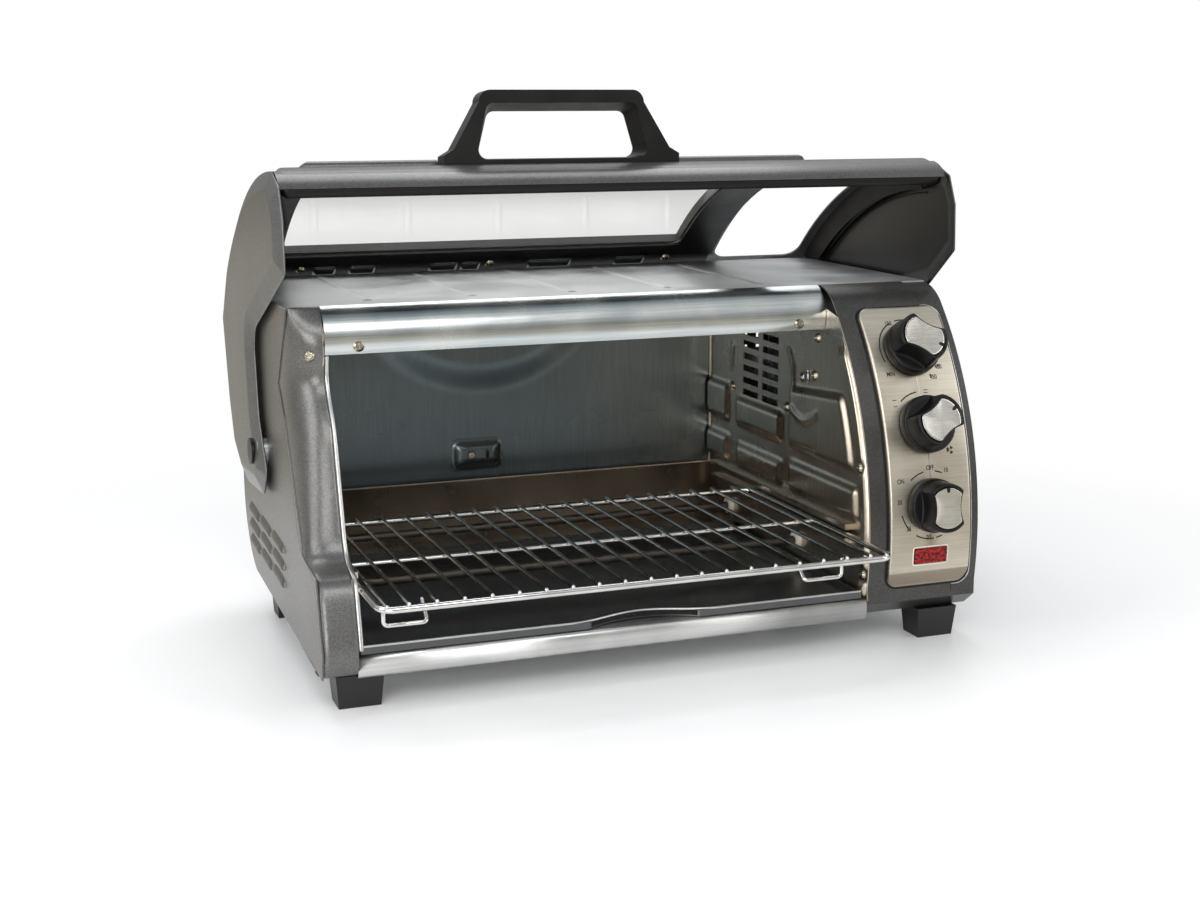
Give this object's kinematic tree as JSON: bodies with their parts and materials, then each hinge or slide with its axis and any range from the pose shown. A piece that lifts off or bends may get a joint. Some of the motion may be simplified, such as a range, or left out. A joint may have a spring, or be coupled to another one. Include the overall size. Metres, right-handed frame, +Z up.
{
  "type": "convection toaster oven",
  "caption": "Countertop convection toaster oven with a curved roll-top door standing open, a wire rack drawn out, a crumb tray and a column of knobs at the right.",
  "frame": {"origin": "on the counter, below the middle of the whole with the door open", "axes": "+X to the oven's right seen from the front, +Y to its back, +Z up"},
  "size_m": [0.4868, 0.3424, 0.3792],
  "materials": {
    "casing_paint": "satin metallic paint",
    "arm_paint": "satin light grey paint",
    "aluminised_steel": "aluminised sheet",
    "brushed_stainless": "brushed",
    "black_plastic": "satin moulded",
    "black_enamel": "gloss enamel",
    "window_glass": "tempered, clear",
    "red_lens": "faceted, translucent",
    "lamp_glass": "clear",
    "chromed_wire": "polished",
    "element_sheath": "dark oxidised",
    "ceramic": "unglazed ceramic",
    "control_housing": "moulded",
    "bright_steel": "bright zinc plated",
    "yellow_screws": "yellow zinc plated"
  },
  "bodies": {
    "casing": {"left_side_panel": "casing_paint", "right_side_panel": "casing_paint", "left_pillar": "arm_paint", "control_frame": "casing_paint", "control_plate": "brushed_stainless", "top_cover": "aluminised_steel", "back_panel": "aluminised_steel", "cord_gland": "black_plastic", "bottom_panel": "aluminised_steel", "header_bar": "aluminised_steel", "sill_bar": "aluminised_steel", "cavity_left_wall": "aluminised_steel", "cavity_right_wall": "aluminised_steel", "cavity_back_wall": "aluminised_steel", "cavity_ceiling": "aluminised_steel", "cavity_floor": "aluminised_steel", "upper_heating_element": "element_sheath", "lower_heating_element": "element_sheath", "element_insulators": "ceramic", "pilot_lens": "red_lens", "pilot_lamp": "lamp_glass", "thermostat": "control_housing", "function_switch": "control_housing", "toast_timer": "control_housing", "timer_bell": "bright_steel", "terminal_block": "control_housing", "fan_motor": "bright_steel", "fan_bracket": "aluminised_steel", "feet": "black_plastic", "hinge_plates": "aluminised_steel", "hinge_bushes": "bright_steel", "casing_screws": "yellow_screws", "cavity_wall_screws": "yellow_screws"},
    "door": {"door_panel": "casing_paint", "door_arm_left": "arm_paint", "door_arm_right": "arm_paint", "door_glass": "window_glass", "door_inner_frame": "black_enamel", "door_side_strip": "black_enamel", "window_bezel": "casing_paint", "door_handle": "black_plastic", "hinge_pins": "bright_steel", "hinge_clips": "bright_steel", "hinge_caps": "bright_steel", "door_strip_screws": "yellow_screws", "handle_screws": "yellow_screws"},
    "rack": {"wire_rack": "chromed_wire"},
    "tray": {"crumb_tray": "black_enamel"},
    "temperature_knob": {"temperature_knob": "black_plastic", "temperature_knob_inlay": "brushed_stainless", "temperature_shaft": "bright_steel"},
    "function_knob": {"function_knob": "black_plastic", "function_knob_inlay": "brushed_stainless", "function_shaft": "bright_steel"},
    "timer_knob": {"timer_knob": "black_plastic", "timer_knob_inlay": "brushed_stainless", "timer_shaft": "bright_steel"},
    "fan": {"fan_wheel": "bright_steel", "fan_shaft": "bright_steel"}
  },
  "joints": [
    {"name": "door_hinge", "type": "hinge", "parent": "casing", "child": "door", "pos_m": [0, 0.04607, 0.135], "axis": [1, 0, 0], "range_deg": [0, 84]},
    {"name": "rack_slide", "type": "slide", "parent": "casing", "child": "rack", "axis": [0, 1, 0], "range_m": [0, 0.081]},
    {"name": "tray_slide", "type": "slide", "parent": "casing", "child": "tray", "axis": [0, -1, 0], "range_m": [0, 0.18]},
    {"name": "temperature_turn", "type": "hinge", "parent": "casing", "child": "temperature_knob", "pos_m": [0.1925, -0.09042, 0.20071], "axis": [0, -0.848, 0.5299], "range_deg": [-15, 280]},
    {"name": "function_turn", "type": "hinge", "parent": "casing", "child": "function_knob", "pos_m": [0.1925, -0.11381, 0.15201], "axis": [0, -0.9438, 0.3305], "range_deg": [-109, 91]},
    {"name": "timer_turn", "type": "hinge", "parent": "casing", "child": "timer_knob", "pos_m": [0.1925, -0.12596, 0.09894], "axis": [0, -0.9936, 0.1132], "range_deg": [-270, 45]},
    {"name": "fan_spin", "type": "hinge", "parent": "casing", "child": "fan", "pos_m": [0.157, 0.04607, 0.17], "axis": [1, 0, 0], "continuous": true}
  ],
  "couplings": [
    {"joint": "rack_slide", "follows": "door_hinge", "m_per_rad": 0.05457}
  ]
}
